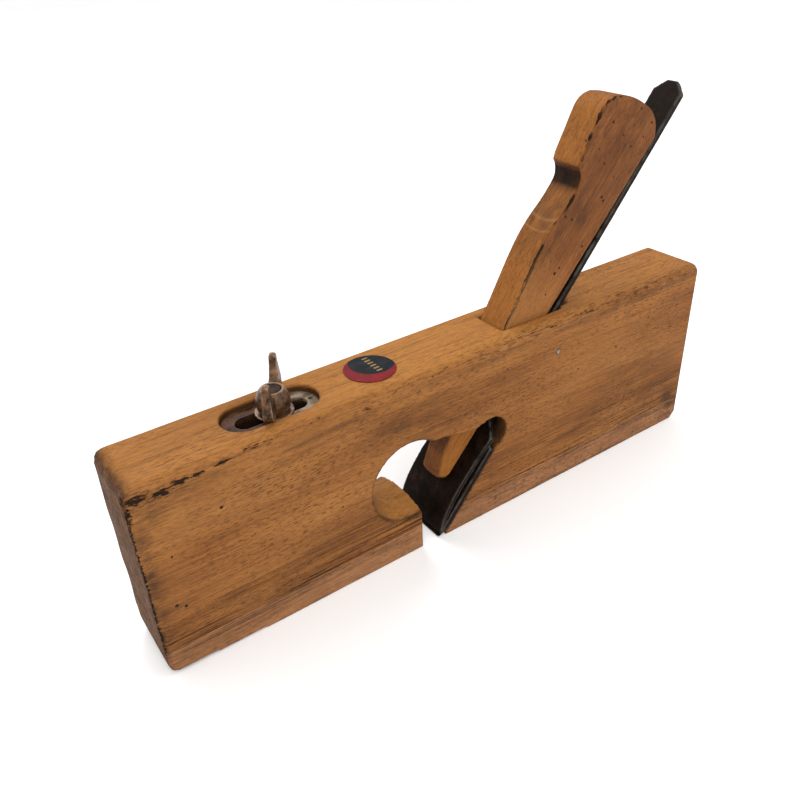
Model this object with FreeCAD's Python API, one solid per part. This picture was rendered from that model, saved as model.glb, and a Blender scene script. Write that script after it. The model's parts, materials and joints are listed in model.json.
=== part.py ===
import FreeCAD, Part
import math
import os

# Wooden rebate plane with a double iron, a wedge and an adjustable mouth.
# Millimetres.  X runs along the stock (toe at -X, heel at +X), Y across it and Z up.
# The origin is the centre of the sole.

# ---- stock ----
LENGTH = 270.0
WIDTH = 30.0
HEIGHT = 83.5
SOLE_THICKNESS = 12.0
TOP_ARRIS = 3.0
TOE_TOP_ROUND = 5.5
HEEL_ROUND = 2.5
TOE_ROUND = 4.0
TOE_EASE_LENGTH = 34.0
TOE_EASE_RISE = 1.3
HEEL_CHAMFER = 3.0

# ---- bed and irons: places are given as (distance up the bed, height off the bed) ----
BED_ANGLE = 50.5
BED_TOE_X = -12.4
JAW_X = -24.0
BED_GAP = 0.1
IRON_WIDTH = 29.8
TANG_WIDTH = 14.2
CUTTER_FRONT = 3.0
CUTTER_EDGE_S = -2.1
CUTTER_BEVEL = 6.4
CUTTER_NOSE = 0.8
CUTTER_SHOULDER_S = 42.0
CUTTER_SHOULDER_RUN = 5.0
CUTTER_TOP_S = 209.0
CUTTER_CLIP = 4.5
CUTTER_SLOT = 7.4
CUTTER_SLOT_START = 56.0
CUTTER_SLOT_END = 101.0
CUTTER_KEYHOLE = 11.2
CAP_THICKNESS = 2.1
CAP_LIP_S = -0.4
CAP_HUMP_S = 25.0
CAP_HUMP_H = 7.6
CAP_SEAT_S = 58.0
CAP_TOP_S = 95.0
CAP_SHOULDER_S = 46.0
CAP_SHOULDER_RUN = 8.0
CAP_LIP_FLAT = 2.0
CAP_INSET = 0.1
CAP_SEAT_GAP = 0.05
SCREW_S = 64.0
SCREW_DIAMETER = 6.4
SCREW_GAP = 0.05
SCREW_HEAD_DIAMETER = 10.4
SCREW_HEAD_HEIGHT = 3.2
SCREW_SLOT_WIDTH = 1.4
SCREW_SLOT_DEPTH = 1.2
SCREW_SUNK = 0.4
NUT_BOSS_DIAMETER = 9.6
NUT_SLEEVE_DIAMETER = 7.6
NUT_BOSS_TOP = 8.0

# ---- escapement ----
THROAT_X = -28.4
THROAT_Z = 36.7
THROAT_RADIUS = 18.2
THROAT_WAIST_RADIUS = 15.0
SLOT_END_X = 12.4
SLOT_END_Z = 41.0
SLOT_END_RADIUS = 8.3

# ---- wedge and its mortise ----
WEDGE_WIDTH = 15.0
MORTISE_WIDTH = 15.8
MORTISE_FRONT_X = 22.9
MORTISE_FRONT_ANGLE = 58.9
MORTISE_FOOT_Z = 34.0
HEAD_GROOVE_START_S = 48.0
HEAD_GROOVE_END_S = 118.0
HEAD_GROOVE_DEPTH = 4.4
HEAD_GROOVE_GAP = 0.6
WEDGE_BACK_AT_TIP = 8.35
WEDGE_BACK_FALL = 0.0322
WEDGE_TIP_S = 19.5
WEDGE_GROOVE_WIDTH = 10.6
WEDGE_GROOVE_H = 8.7
WEDGE_GROOVE_END_S = 76.0
WEDGE_BEVEL_WIDTH = 2.4
WEDGE_BEVEL_DEPTH = 7.0
WEDGE_TIP_CORNER = 5.5
WEDGE_TIP_H = 12.9
WEDGE_THROAT = (30.0, 15.9)
WEDGE_SHOULDER = (92.0, 25.1)
WEDGE_TOP_S = 184.5

# ---- adjustable mouth ----
STUD_X = -75.0
STUD_DIAMETER = 7.0
STUD_TOP_Z = 90.6
STUD_ROUND = 1.2
STUD_SLOT_WIDTH = 7.8
STUD_SLOT_START_X = -90.0
STUD_SLOT_END_X = -62.5
STOCK_SLOT_GAP = 0.5
SLIDE_GAP = 0.1
RECESS_LENGTH = 37.0
RECESS_WIDTH = 17.2
RECESS_X = -76.5
RECESS_DEPTH = 4.0
PLATE_THICKNESS = 1.5
PLATE_GAP = 0.25
BASE_PLATE_LENGTH = 46.0
BASE_PLATE_WIDTH = 16.0
BASE_PLATE_THICKNESS = 3.0
BASE_PLATE_SUNK = 0.1
BASE_SCREW_SPACING = 34.0
PLATE_PIN_SPACING = 31.8
PLATE_PIN_RADIUS = 0.8
PLATE_PIN_LENGTH = 8.0
KEY_WIDTH = 6.0
KEY_LENGTH = 22.0
KEY_HEIGHT = 8.0
KEY_CENTRES = (-111.0, -38.0)
KEY_TRAVEL_BACK = 10.8
KEY_TRAVEL_FRONT = 9.0
KEY_SIDE_GAP = 0.1
KEY_TOP_GAP = 0.3
BASE_SCREW_LENGTH = 9.0
DRIVER_SLOT_WIDTH = 0.8
DRIVER_SLOT_DEPTH = 0.7
BASE_SCREW_HEAD_RADIUS = 3.4
BASE_SCREW_RADIUS = 1.8

# ---- wing nut ----
WASHER_DIAMETER = 14.0
WASHER_THICKNESS = 0.8
WASHER_BORE_GAP = 0.08
NUT_FOOT_RADIUS = 5.3
NUT_BELLY_RADIUS = 6.1
NUT_BELLY_HEIGHT = 3.6
NUT_TOP_RADIUS = 4.3
NUT_HEIGHT = 8.8
NUT_BORE_GAP = 0.06
WING_SPAN = 13.4
WING_FOOT = 2.3
WING_TOP = 16.6
WING_ROOT_THICKNESS = 4.2
WING_TIP_THICKNESS = 2.6
WING_DIRECTION = 56.5

# ---- small parts ----
LABEL_X = -35.0
LABEL_DIAMETER = 20.0
LABEL_THICKNESS = 0.3
PIN_X = 48.0
PIN_Z = 68.0
PIN_DIAMETER = 2.2
PIN_LENGTH = 5.5
PIN_PROUD = 0.1

OUT = "parts"
HALF = WIDTH / 2.0
TOE_X = -LENGTH / 2.0
HEEL_X = LENGTH / 2.0
BED_COS = math.cos(math.radians(BED_ANGLE))
BED_SIN = math.sin(math.radians(BED_ANGLE))
PLATE_FOOT_Z = HEIGHT - RECESS_DEPTH
PLATE_TOP_Z = PLATE_FOOT_Z + PLATE_THICKNESS
WASHER_TOP_Z = PLATE_TOP_Z + WASHER_THICKNESS
SHOE_TOP_Z = SOLE_THICKNESS - SLIDE_GAP
BASE_PLATE_TOP_Z = SHOE_TOP_Z - BASE_PLATE_SUNK
BASE_PLATE_FOOT_Z = BASE_PLATE_TOP_Z - BASE_PLATE_THICKNESS
UP = FreeCAD.Vector(0, 0, 1)
MARGIN = 1.0


def vec(x, y, z):
    return FreeCAD.Vector(x, y, z)


def on_bed(s, h, y=0.0):
    """Point at distance s up the bed and height h off it."""
    return vec(BED_TOE_X + s * BED_COS - h * BED_SIN, y, s * BED_SIN + h * BED_COS)


def bed_direction():
    return vec(BED_COS, 0, BED_SIN)


def bed_normal():
    return vec(-BED_SIN, 0, BED_COS)


def box(x0, x1, y0, y1, z0, z1):
    return Part.makeBox(x1 - x0, y1 - y0, z1 - z0, vec(x0, y0, z0))


def rod(radius, start, direction, length):
    return Part.makeCylinder(radius, length, start, direction)


def line(a, b):
    return Part.LineSegment(a, b).toShape()


def arc(a, b, c):
    return Part.Arc(a, b, c).toShape()


def spline(points):
    curve = Part.BSplineCurve()
    curve.interpolate(points)
    return curve.toShape()


def polyline(points):
    return [line(a, b) for a, b in zip(points, points[1:])]


def closed(points):
    return Part.Wire(polyline(points + [points[0]]))


def across(edges, half_width):
    """Solid of an outline in the XZ plane, carried half_width each side of y = 0."""
    face = Part.Face(Part.Wire(edges))
    face.translate(vec(0, -half_width, 0))
    return face.extrude(vec(0, 2 * half_width, 0))


def stadium(x0, x1, width, z0, z1):
    """Upright round-ended bar from x0 to x1."""
    radius = width / 2.0
    bar = box(x0 + radius, x1 - radius, -radius, radius, z0, z1)
    for x in (x0 + radius, x1 - radius):
        bar = bar.fuse(rod(radius, vec(x, 0, z0), UP, z1 - z0))
    return bar.removeSplitter()


def bed_slab(outline, h0, h1):
    """Plate parallel to the bed from an outline of (distance up the bed, y) points."""
    face = Part.Face(closed([on_bed(s, h0, y) for s, y in outline]))
    return face.extrude(bed_normal() * (h1 - h0))


def bed_bar(s0, s1, width, h0, h1):
    half = width / 2.0
    return bed_slab([(s0, -half), (s1, -half), (s1, half), (s0, half)], h0, h1)


def edges_near(shape, test):
    return [edge for edge in shape.Edges if test(edge.CenterOfMass)]


def rounded(shape, radius, test):
    return shape.makeFillet(radius, edges_near(shape, test))


# ---------------------------------------------------------------- stock
def stock_block():
    """Body above the sole strips, with its worn arrises."""
    block = box(TOE_X, HEEL_X, -HALF, HALF, SOLE_THICKNESS, HEIGHT)
    profile = rounded(block, TOE_TOP_ROUND,
                      lambda c: c.x < TOE_X + 0.1 and c.z > HEIGHT - 0.1)
    profile = rounded(profile, HEEL_ROUND,
                      lambda c: c.x > HEEL_X - 0.1 and c.z > HEIGHT - 0.1)
    section = rounded(block, TOP_ARRIS,
                      lambda c: abs(c.y) > HALF - 0.1 and c.z > HEIGHT - 0.1)
    return profile.common(section)


def escapement():
    """Round throat, flared towards both sides, that opens into the slot for the irons."""
    reach = HALF + 1.0
    flare = (THROAT_RADIUS - THROAT_WAIST_RADIUS) * (reach / HALF) ** 2
    mouth_radius = THROAT_WAIST_RADIUS + flare
    rim = arc(vec(THROAT_X + mouth_radius, -reach, THROAT_Z),
              vec(THROAT_X + THROAT_WAIST_RADIUS, 0, THROAT_Z),
              vec(THROAT_X + mouth_radius, reach, THROAT_Z))
    ends = polyline([vec(THROAT_X + mouth_radius, reach, THROAT_Z),
                     vec(THROAT_X, reach, THROAT_Z),
                     vec(THROAT_X, -reach, THROAT_Z),
                     vec(THROAT_X + mouth_radius, -reach, THROAT_Z)])
    face = Part.Face(Part.Wire([rim] + ends))
    return face.revolve(vec(THROAT_X, 0, THROAT_Z), vec(0, 1, 0), 360)


def iron_slot():
    """Slot through both sides: jaw, curved upper edge, round upper end and bed."""
    below = -2.0
    jaw_foot = vec(JAW_X, 0, below)
    jaw_head = vec(JAW_X, 0, THROAT_Z)
    crown = vec(-18.5, 0, 51.0)
    end_top = vec(SLOT_END_X - 1.5, 0, SLOT_END_Z + math.sqrt(SLOT_END_RADIUS ** 2 - 1.5 ** 2))
    end_side = vec(SLOT_END_X + SLOT_END_RADIUS, 0, SLOT_END_Z)
    end_low = vec(SLOT_END_X + SLOT_END_RADIUS * math.cos(math.radians(-50)), 0,
                  SLOT_END_Z + SLOT_END_RADIUS * math.sin(math.radians(-50)))
    low_s = (end_low - on_bed(0, 0)).dot(bed_direction())
    edges = [line(jaw_foot, jaw_head),
             line(jaw_head, crown),
             spline([crown, vec(-7.6, 0, 49.5), vec(1.3, 0, 47.9), end_top]),
             arc(end_top, end_side, end_low),
             line(end_low, on_bed(low_s - 1.0, 0)),
             line(on_bed(low_s - 1.0, 0), on_bed(below / BED_SIN, 0)),
             line(on_bed(below / BED_SIN, 0), jaw_foot)]
    return across(edges, HALF + 1.0)


def mortise():
    """Sloping pocket for the wedge and the tang, open at the top."""
    top = HEIGHT + MARGIN
    lean = math.tan(math.radians(MORTISE_FRONT_ANGLE))
    bed_lean = math.tan(math.radians(BED_ANGLE))
    outline = [vec(MORTISE_FRONT_X + MARGIN / lean, 0, top),
               vec(BED_TOE_X + top / bed_lean, 0, top),
               vec(BED_TOE_X + MORTISE_FOOT_Z / bed_lean, 0, MORTISE_FOOT_Z),
               vec(MORTISE_FRONT_X - (HEIGHT - MORTISE_FOOT_Z) / lean, 0, MORTISE_FOOT_Z)]
    return across(polyline(outline + [outline[0]]), MORTISE_WIDTH / 2.0)


def screw_head_groove():
    """Groove down the middle of the bed, in which the head of the cap screw rides."""
    return bed_bar(HEAD_GROOVE_START_S, HEAD_GROOVE_END_S, SCREW_HEAD_DIAMETER + 2 * HEAD_GROOVE_GAP,
                   -HEAD_GROOVE_DEPTH, BED_GAP)


def mouth_adjuster_cuts():
    """Plate recess with its screw holes, stud slot, and the grooves in which the keys slide."""
    x0 = RECESS_X - RECESS_LENGTH / 2.0
    x1 = RECESS_X + RECESS_LENGTH / 2.0
    cut = stadium(x0, x1, RECESS_WIDTH, PLATE_FOOT_Z, HEIGHT + MARGIN)
    cut = cut.fuse(stadium(STUD_SLOT_START_X - STOCK_SLOT_GAP, STUD_SLOT_END_X + STOCK_SLOT_GAP,
                           STUD_SLOT_WIDTH + 2 * STOCK_SLOT_GAP, SOLE_THICKNESS - MARGIN, HEIGHT))
    key_top = SOLE_THICKNESS + KEY_HEIGHT / 2.0 + KEY_TOP_GAP
    key_half = KEY_WIDTH / 2.0 + KEY_SIDE_GAP
    for centre in KEY_CENTRES:
        cut = cut.fuse(box(centre - KEY_LENGTH / 2.0 - KEY_TRAVEL_BACK,
                           centre + KEY_LENGTH / 2.0 + KEY_TRAVEL_FRONT,
                           -key_half, key_half, SOLE_THICKNESS - MARGIN, key_top))
    return cut.fuse(slot_plate_pins().Solids)


def body_stock():
    body = stock_block()
    for tool in (escapement(), iron_slot(), mortise(), screw_head_groove(), mouth_adjuster_cuts(),
                 side_pin()):
        body = body.cut(tool)
    return body.removeSplitter()


def heel_sole():
    """Hard sole strip glued under the heel; its front end is the foot of the bed."""
    top_s = SOLE_THICKNESS / BED_SIN
    outline = [on_bed(0, 0), vec(HEEL_X - HEEL_CHAMFER, 0, 0), vec(HEEL_X, 0, HEEL_CHAMFER),
               vec(HEEL_X, 0, SOLE_THICKNESS), on_bed(top_s, 0)]
    return across(polyline(outline + [outline[0]]), HALF)


def toe_shoe():
    """Sliding front sole: a strip with an eased toe, let in for the plate and the keys."""
    corner = math.radians(45)
    ease_end = vec(TOE_X + TOE_ROUND, 0, TOE_EASE_RISE)
    round_mid = vec(TOE_X + TOE_ROUND * (1 - math.sin(corner)), 0,
                    TOE_EASE_RISE + TOE_ROUND * (1 - math.cos(corner)))
    round_end = vec(TOE_X, 0, TOE_EASE_RISE + TOE_ROUND)
    edges = polyline([round_end, vec(TOE_X, 0, SHOE_TOP_Z), vec(JAW_X, 0, SHOE_TOP_Z), vec(JAW_X, 0, 0),
                      vec(TOE_X + TOE_ROUND + TOE_EASE_LENGTH, 0, 0), ease_end])
    edges.append(arc(ease_end, round_mid, round_end))
    shoe = across(edges, HALF)
    shoe = shoe.cut(base_plate_block(SOLE_THICKNESS))
    for centre in KEY_CENTRES:
        shoe = shoe.cut(guide_key(centre))
    for x in base_screw_places():
        shoe = shoe.cut(base_screw_blank(x))
    return shoe


# ---------------------------------------------------------------- adjustable mouth
def guide_key(centre):
    return box(centre - KEY_LENGTH / 2.0, centre + KEY_LENGTH / 2.0,
               -KEY_WIDTH / 2.0, KEY_WIDTH / 2.0,
               SOLE_THICKNESS - KEY_HEIGHT / 2.0, SOLE_THICKNESS + KEY_HEIGHT / 2.0)


def guide_keys():
    return Part.makeCompound([guide_key(centre) for centre in KEY_CENTRES])


def base_plate_block(top):
    return box(STUD_X - BASE_PLATE_LENGTH / 2.0, STUD_X + BASE_PLATE_LENGTH / 2.0,
               -BASE_PLATE_WIDTH / 2.0, BASE_PLATE_WIDTH / 2.0, BASE_PLATE_FOOT_Z, top)


def base_plate():
    """Steel plate let into the shoe; the stud is riveted through its middle."""
    plate = base_plate_block(BASE_PLATE_TOP_Z).cut(clamp_stud())
    for x in base_screw_places():
        plate = plate.cut(base_screw_blank(x))
    return plate


def base_screw_places():
    return (STUD_X - BASE_SCREW_SPACING / 2.0, STUD_X + BASE_SCREW_SPACING / 2.0)


def base_screw_blank(x):
    """Countersunk screw on the centre line, without its driver slot."""
    top = BASE_PLATE_TOP_Z
    head_depth = BASE_SCREW_HEAD_RADIUS - BASE_SCREW_RADIUS
    head = Part.makeCone(BASE_SCREW_RADIUS, BASE_SCREW_HEAD_RADIUS, head_depth, vec(x, 0, top - head_depth))
    shank = rod(BASE_SCREW_RADIUS, vec(x, 0, top - BASE_SCREW_LENGTH), UP, BASE_SCREW_LENGTH - head_depth)
    return head.fuse(shank).removeSplitter()


def driver_slot(x):
    return box(x - BASE_SCREW_HEAD_RADIUS, x + BASE_SCREW_HEAD_RADIUS,
               -DRIVER_SLOT_WIDTH / 2.0, DRIVER_SLOT_WIDTH / 2.0,
               BASE_PLATE_TOP_Z - DRIVER_SLOT_DEPTH, BASE_PLATE_TOP_Z + MARGIN)


def base_plate_screws():
    return Part.makeCompound([base_screw_blank(x).cut(driver_slot(x)) for x in base_screw_places()])


def plate_pin(x):
    return rod(PLATE_PIN_RADIUS, vec(x, 0, PLATE_TOP_Z - PLATE_PIN_LENGTH), UP, PLATE_PIN_LENGTH)


def slot_plate_pins():
    """Flush pins that hold the wear plate, one near each end."""
    half = PLATE_PIN_SPACING / 2.0
    return Part.makeCompound([plate_pin(RECESS_X - half), plate_pin(RECESS_X + half)])


def clamp_stud():
    """Threaded stud, drawn at its outside diameter, with a domed upper end."""
    stud = rod(STUD_DIAMETER / 2.0, vec(STUD_X, 0, BASE_PLATE_FOOT_Z), UP, STUD_TOP_Z - BASE_PLATE_FOOT_Z)
    return rounded(stud, STUD_ROUND, lambda c: c.z > STUD_TOP_Z - 0.1)


def slot_plate():
    """Round-ended wear plate under the wing nut, let into the top of the stock."""
    x0 = RECESS_X - RECESS_LENGTH / 2.0 + PLATE_GAP
    x1 = RECESS_X + RECESS_LENGTH / 2.0 - PLATE_GAP
    plate = stadium(x0, x1, RECESS_WIDTH - 2 * PLATE_GAP, PLATE_FOOT_Z, PLATE_TOP_Z)
    plate = plate.cut(stadium(STUD_SLOT_START_X, STUD_SLOT_END_X, STUD_SLOT_WIDTH,
                              PLATE_FOOT_Z - MARGIN, PLATE_TOP_Z + MARGIN))
    return plate.cut(slot_plate_pins())


def washer():
    base = vec(STUD_X, 0, PLATE_TOP_Z)
    ring = rod(WASHER_DIAMETER / 2.0, base, UP, WASHER_THICKNESS)
    return ring.cut(rod(STUD_DIAMETER / 2.0 + WASHER_BORE_GAP, base, UP, WASHER_THICKNESS))


def wing_thickness():
    """Bar along X whose section grows thinner upwards and has a round top."""
    root = WING_ROOT_THICKNESS / 2.0
    tip = WING_TIP_THICKNESS / 2.0
    top = WASHER_TOP_Z + WING_TOP
    section = polyline([vec(0, tip, top - tip), vec(0, root, WASHER_TOP_Z), vec(0, -root, WASHER_TOP_Z),
                        vec(0, -tip, top - tip)])
    section.append(arc(vec(0, -tip, top - tip), vec(0, 0, top), vec(0, tip, top - tip)))
    return Part.Face(Part.Wire(section)).extrude(vec(WING_SPAN + MARGIN, 0, 0))


def wing(direction):
    """One wing, springing from the foot of the nut and leaning out to a round top."""
    root = NUT_FOOT_RADIUS * 0.6
    base = WASHER_TOP_Z
    foot = vec(root, 0, base + WING_FOOT)
    heel = vec(WING_SPAN - 2.8, 0, base + WING_FOOT)
    belly = vec(WING_SPAN, 0, base + WING_FOOT + 4.2)
    brow = vec(WING_SPAN - 0.9, 0, base + WING_TOP - 2.0)
    crown = vec(WING_SPAN - 2.2, 0, base + WING_TOP)
    inner = vec(WING_SPAN - 3.9, 0, base + WING_TOP - 1.3)
    waist = vec(root, 0, base + NUT_HEIGHT - 0.8)
    edges = [line(foot, heel),
             arc(heel, vec(WING_SPAN - 0.6, 0, base + WING_FOOT + 1.4), belly),
             line(belly, brow),
             arc(brow, crown, inner),
             spline([inner, vec(7.6, 0, base + NUT_HEIGHT + 1.2), waist]),
             line(waist, foot)]
    blade = across(edges, WING_ROOT_THICKNESS).common(wing_thickness())
    blade.rotate(vec(0, 0, 0), UP, direction)
    return blade


def wing_nut_hub():
    base = WASHER_TOP_Z
    top = base + NUT_HEIGHT
    side = spline([vec(NUT_FOOT_RADIUS, 0, base), vec(NUT_BELLY_RADIUS, 0, base + NUT_BELLY_HEIGHT),
                   vec(NUT_TOP_RADIUS, 0, top)])
    rest = polyline([vec(NUT_TOP_RADIUS, 0, top), vec(0, 0, top), vec(0, 0, base),
                     vec(NUT_FOOT_RADIUS, 0, base)])
    return Part.Face(Part.Wire([side] + rest)).revolve(vec(0, 0, base), UP, 360)


def wing_nut():
    nut = wing_nut_hub().fuse([wing(0), wing(180)])
    bore = rod(STUD_DIAMETER / 2.0 + NUT_BORE_GAP, vec(0, 0, WASHER_TOP_Z - MARGIN), UP,
               WING_TOP + 2 * MARGIN)
    nut = nut.cut(bore).removeSplitter()
    nut.rotate(vec(0, 0, 0), UP, WING_DIRECTION)
    nut.translate(vec(STUD_X, 0, 0))
    return nut


# ---------------------------------------------------------------- irons
def cutter():
    """Plane iron: full-width blade below, narrow tang above, bevel at the bed side."""
    half = IRON_WIDTH / 2.0
    tang = TANG_WIDTH / 2.0
    near = [(CUTTER_EDGE_S, -half + CUTTER_NOSE), (CUTTER_EDGE_S + CUTTER_NOSE, -half),
            (CUTTER_SHOULDER_S, -half), (CUTTER_SHOULDER_S + CUTTER_SHOULDER_RUN, -tang),
            (CUTTER_TOP_S - CUTTER_CLIP, -tang), (CUTTER_TOP_S, -tang + CUTTER_CLIP)]
    outline = near + [(s, -y) for s, y in reversed(near)]
    blade = bed_slab(outline, BED_GAP, CUTTER_FRONT)
    bevel_points = [on_bed(CUTTER_EDGE_S, CUTTER_FRONT), on_bed(CUTTER_EDGE_S - MARGIN, -MARGIN),
                    on_bed(CUTTER_EDGE_S + CUTTER_BEVEL, -MARGIN),
                    on_bed(CUTTER_EDGE_S + CUTTER_BEVEL, BED_GAP)]
    blade = blade.cut(across(polyline(bevel_points + [bevel_points[0]]), HALF))
    slot = bed_bar(CUTTER_SLOT_START, CUTTER_SLOT_END, CUTTER_SLOT, -MARGIN, CUTTER_FRONT + MARGIN)
    holes = [(CUTTER_SLOT_START, CUTTER_SLOT / 2.0), (CUTTER_SLOT_END, CUTTER_KEYHOLE / 2.0)]
    for s, radius in holes:
        slot = slot.fuse(rod(radius, on_bed(s, -MARGIN), bed_normal(), CUTTER_FRONT + 2 * MARGIN))
    return blade.cut(slot).removeSplitter()


def cap_iron_profile():
    """Side outline of the chip breaker: flat at the screw, bowed forward, down to its lip."""
    seat = CUTTER_FRONT + CAP_SEAT_GAP
    top = seat + CAP_THICKNESS
    outer = spline([on_bed(CAP_LIP_S, seat), on_bed(4.0, 5.0), on_bed(11.0, 6.8),
                    on_bed(CAP_HUMP_S, CAP_HUMP_H), on_bed(42.0, 6.4),
                    on_bed(CAP_SEAT_S - 4.0, top + 0.1), on_bed(CAP_SEAT_S, top)])
    inner = spline([on_bed(CAP_SEAT_S, seat), on_bed(42.0, 6.3 - CAP_THICKNESS),
                    on_bed(CAP_HUMP_S, CAP_HUMP_H - CAP_THICKNESS), on_bed(12.0, 4.75),
                    on_bed(CAP_LIP_S + CAP_LIP_FLAT, seat)])
    flat = polyline([on_bed(CAP_SEAT_S, top), on_bed(CAP_TOP_S, top), on_bed(CAP_TOP_S, seat),
                     on_bed(CAP_SEAT_S, seat)])
    lip = line(on_bed(CAP_LIP_S + CAP_LIP_FLAT, seat), on_bed(CAP_LIP_S, seat))
    return [outer] + flat + [inner, lip]


def cap_iron():
    """Chip breaker: a bowed plate whose lip bears on the cutter just behind its edge."""
    half = IRON_WIDTH / 2.0 - CAP_INSET
    tang = TANG_WIDTH / 2.0 - CAP_INSET
    near = [(CAP_LIP_S - MARGIN, -half), (CAP_SHOULDER_S, -half),
            (CAP_SHOULDER_S + CAP_SHOULDER_RUN, -tang), (CAP_TOP_S - CUTTER_CLIP, -tang),
            (CAP_TOP_S, -tang + CUTTER_CLIP)]
    outline = near + [(s, -y) for s, y in reversed(near)]
    plate = across(cap_iron_profile(), HALF).common(bed_slab(outline, 0.0, CAP_HUMP_H + MARGIN))
    return plate.cut(rod(NUT_SLEEVE_DIAMETER / 2.0, on_bed(SCREW_S, 0.0), bed_normal(), CAP_HUMP_H))


def cap_nut():
    """Brass nut riveted into the cap iron, threaded for the cap screw."""
    seat = CUTTER_FRONT + CAP_SEAT_GAP
    boss_foot = seat + CAP_THICKNESS
    sleeve = rod(NUT_SLEEVE_DIAMETER / 2.0, on_bed(SCREW_S, seat), bed_normal(), CAP_THICKNESS)
    boss = rod(NUT_BOSS_DIAMETER / 2.0, on_bed(SCREW_S, boss_foot), bed_normal(), NUT_BOSS_TOP - boss_foot)
    bore = rod(SCREW_DIAMETER / 2.0 + SCREW_GAP, on_bed(SCREW_S, 0.0), bed_normal(), NUT_BOSS_TOP + MARGIN)
    return sleeve.fuse(boss).cut(bore).removeSplitter()


def cap_screw():
    """Large-headed screw that comes through the cutter's slot from behind."""
    under_head = on_bed(SCREW_S, BED_GAP - CAP_SEAT_GAP)
    head = rod(SCREW_HEAD_DIAMETER / 2.0, under_head, bed_normal() * -1, SCREW_HEAD_HEIGHT)
    shank = rod(SCREW_DIAMETER / 2.0, under_head, bed_normal(), NUT_BOSS_TOP - SCREW_SUNK)
    slot = bed_bar(SCREW_S - SCREW_HEAD_DIAMETER, SCREW_S + SCREW_HEAD_DIAMETER, SCREW_SLOT_WIDTH,
                   -SCREW_HEAD_HEIGHT - MARGIN, -SCREW_HEAD_HEIGHT + SCREW_SLOT_DEPTH)
    return head.fuse(shank).removeSplitter().cut(slot)


# ---------------------------------------------------------------- wedge
def wedge_back(s):
    """Height of the wedge's back face off the bed."""
    return WEDGE_BACK_AT_TIP - WEDGE_BACK_FALL * (s - WEDGE_TIP_S)


def wedge():
    """Wedge with a round tip, a finger notch and a rounded head."""
    tip_back = on_bed(WEDGE_TIP_S + 1.0, wedge_back(WEDGE_TIP_S + 1.0))
    tip_mid = on_bed(WEDGE_TIP_S, 10.0)
    tip_front = on_bed(WEDGE_TIP_S + 2.4, 12.2)
    throat = on_bed(*WEDGE_THROAT)
    shoulder = on_bed(*WEDGE_SHOULDER)
    notch_in = on_bed(149.5, 28.6)
    notch_mid = on_bed(152.0, 29.6)
    nose = on_bed(154.6, 34.6)
    brow = on_bed(175.0, 38.6)
    crown_front = on_bed(185.2, 33.6)
    crown_back = on_bed(190.6, 17.5)
    back_top = on_bed(WEDGE_TOP_S, wedge_back(WEDGE_TOP_S))
    edges = [arc(tip_back, tip_mid, tip_front),
             line(tip_front, throat),
             line(throat, shoulder),
             spline([shoulder, on_bed(117.0, 29.3), on_bed(128.5, 30.0), on_bed(140.0, 28.8), notch_in]),
             arc(notch_in, notch_mid, nose),
             line(nose, brow),
             arc(brow, on_bed(181.3, 37.6), crown_front),
             arc(crown_front, on_bed(188.8, 26.0), crown_back),
             arc(crown_back, on_bed(189.6, 8.6), back_top),
             line(back_top, tip_back)]
    body = across(edges, WEDGE_WIDTH / 2.0)
    groove = bed_bar(0.0, WEDGE_GROOVE_END_S, WEDGE_GROOVE_WIDTH, 0.0, WEDGE_GROOVE_H)
    body = body.cut(groove)
    for side in (-1, 1):
        body = body.cut(tip_corner(side)).cut(front_bevel(side))
    return body


def tip_corner(side):
    """Waste outside the round corner of the wedge's tip."""
    half = WEDGE_WIDTH / 2.0
    inner = side * (half - WEDGE_TIP_CORNER)
    outer = side * (half + MARGIN)
    end = WEDGE_TIP_S + WEDGE_TIP_CORNER
    block = bed_slab([(0.0, inner), (0.0, outer), (end, outer), (end, inner)], 0.0, WEDGE_SHOULDER[1])
    return block.cut(rod(WEDGE_TIP_CORNER, on_bed(end, -MARGIN, inner), bed_normal(), 2 * WEDGE_SHOULDER[1]))


def front_bevel(side):
    """Waste outside the bevel along a front arris, from the tip up to the shoulder."""
    y = side * WEDGE_WIDTH / 2.0
    start = WEDGE_TIP_S / 2.0
    depth = WEDGE_BEVEL_DEPTH * (1 + MARGIN / WEDGE_BEVEL_WIDTH)
    corner = [on_bed(start, WEDGE_TIP_H, y - side * WEDGE_BEVEL_WIDTH),
              on_bed(start, WEDGE_TIP_H, y + side * MARGIN),
              on_bed(start, WEDGE_TIP_H - depth, y + side * MARGIN)]
    run = on_bed(*WEDGE_SHOULDER) - on_bed(*WEDGE_THROAT)
    return Part.Face(closed(corner)).extrude(run)


# ---------------------------------------------------------------- small parts
def label_disc():
    return rod(LABEL_DIAMETER / 2.0, vec(LABEL_X, 0, HEIGHT), UP, LABEL_THICKNESS)


def side_pin():
    """Plain pin driven into the near side of the stock beside the mortise."""
    start = vec(PIN_X, -HALF - PIN_PROUD, PIN_Z)
    return rod(PIN_DIAMETER / 2.0, start, vec(0, 1, 0), PIN_LENGTH)


def main():
    os.makedirs(OUT, exist_ok=True)
    nodes = {"body_stock": body_stock, "heel_sole": heel_sole, "toe_shoe": toe_shoe,
             "guide_keys": guide_keys, "base_plate": base_plate,
             "base_plate_screws": base_plate_screws, "clamp_stud": clamp_stud,
             "slot_plate": slot_plate, "slot_plate_pins": slot_plate_pins,
             "washer": washer, "wing_nut": wing_nut, "cutter": cutter, "cap_iron": cap_iron,
             "cap_nut": cap_nut, "cap_screw": cap_screw, "wedge": wedge,
             "label_disc": label_disc, "side_pin": side_pin}
    for name, make in nodes.items():
        shape = make()
        shape.exportStep(OUT + "/" + name + ".step")
        print(name, "valid", shape.isValid(), "solids", len(shape.Solids), "volume", round(shape.Volume))


main()
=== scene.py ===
import json
import math

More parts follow.
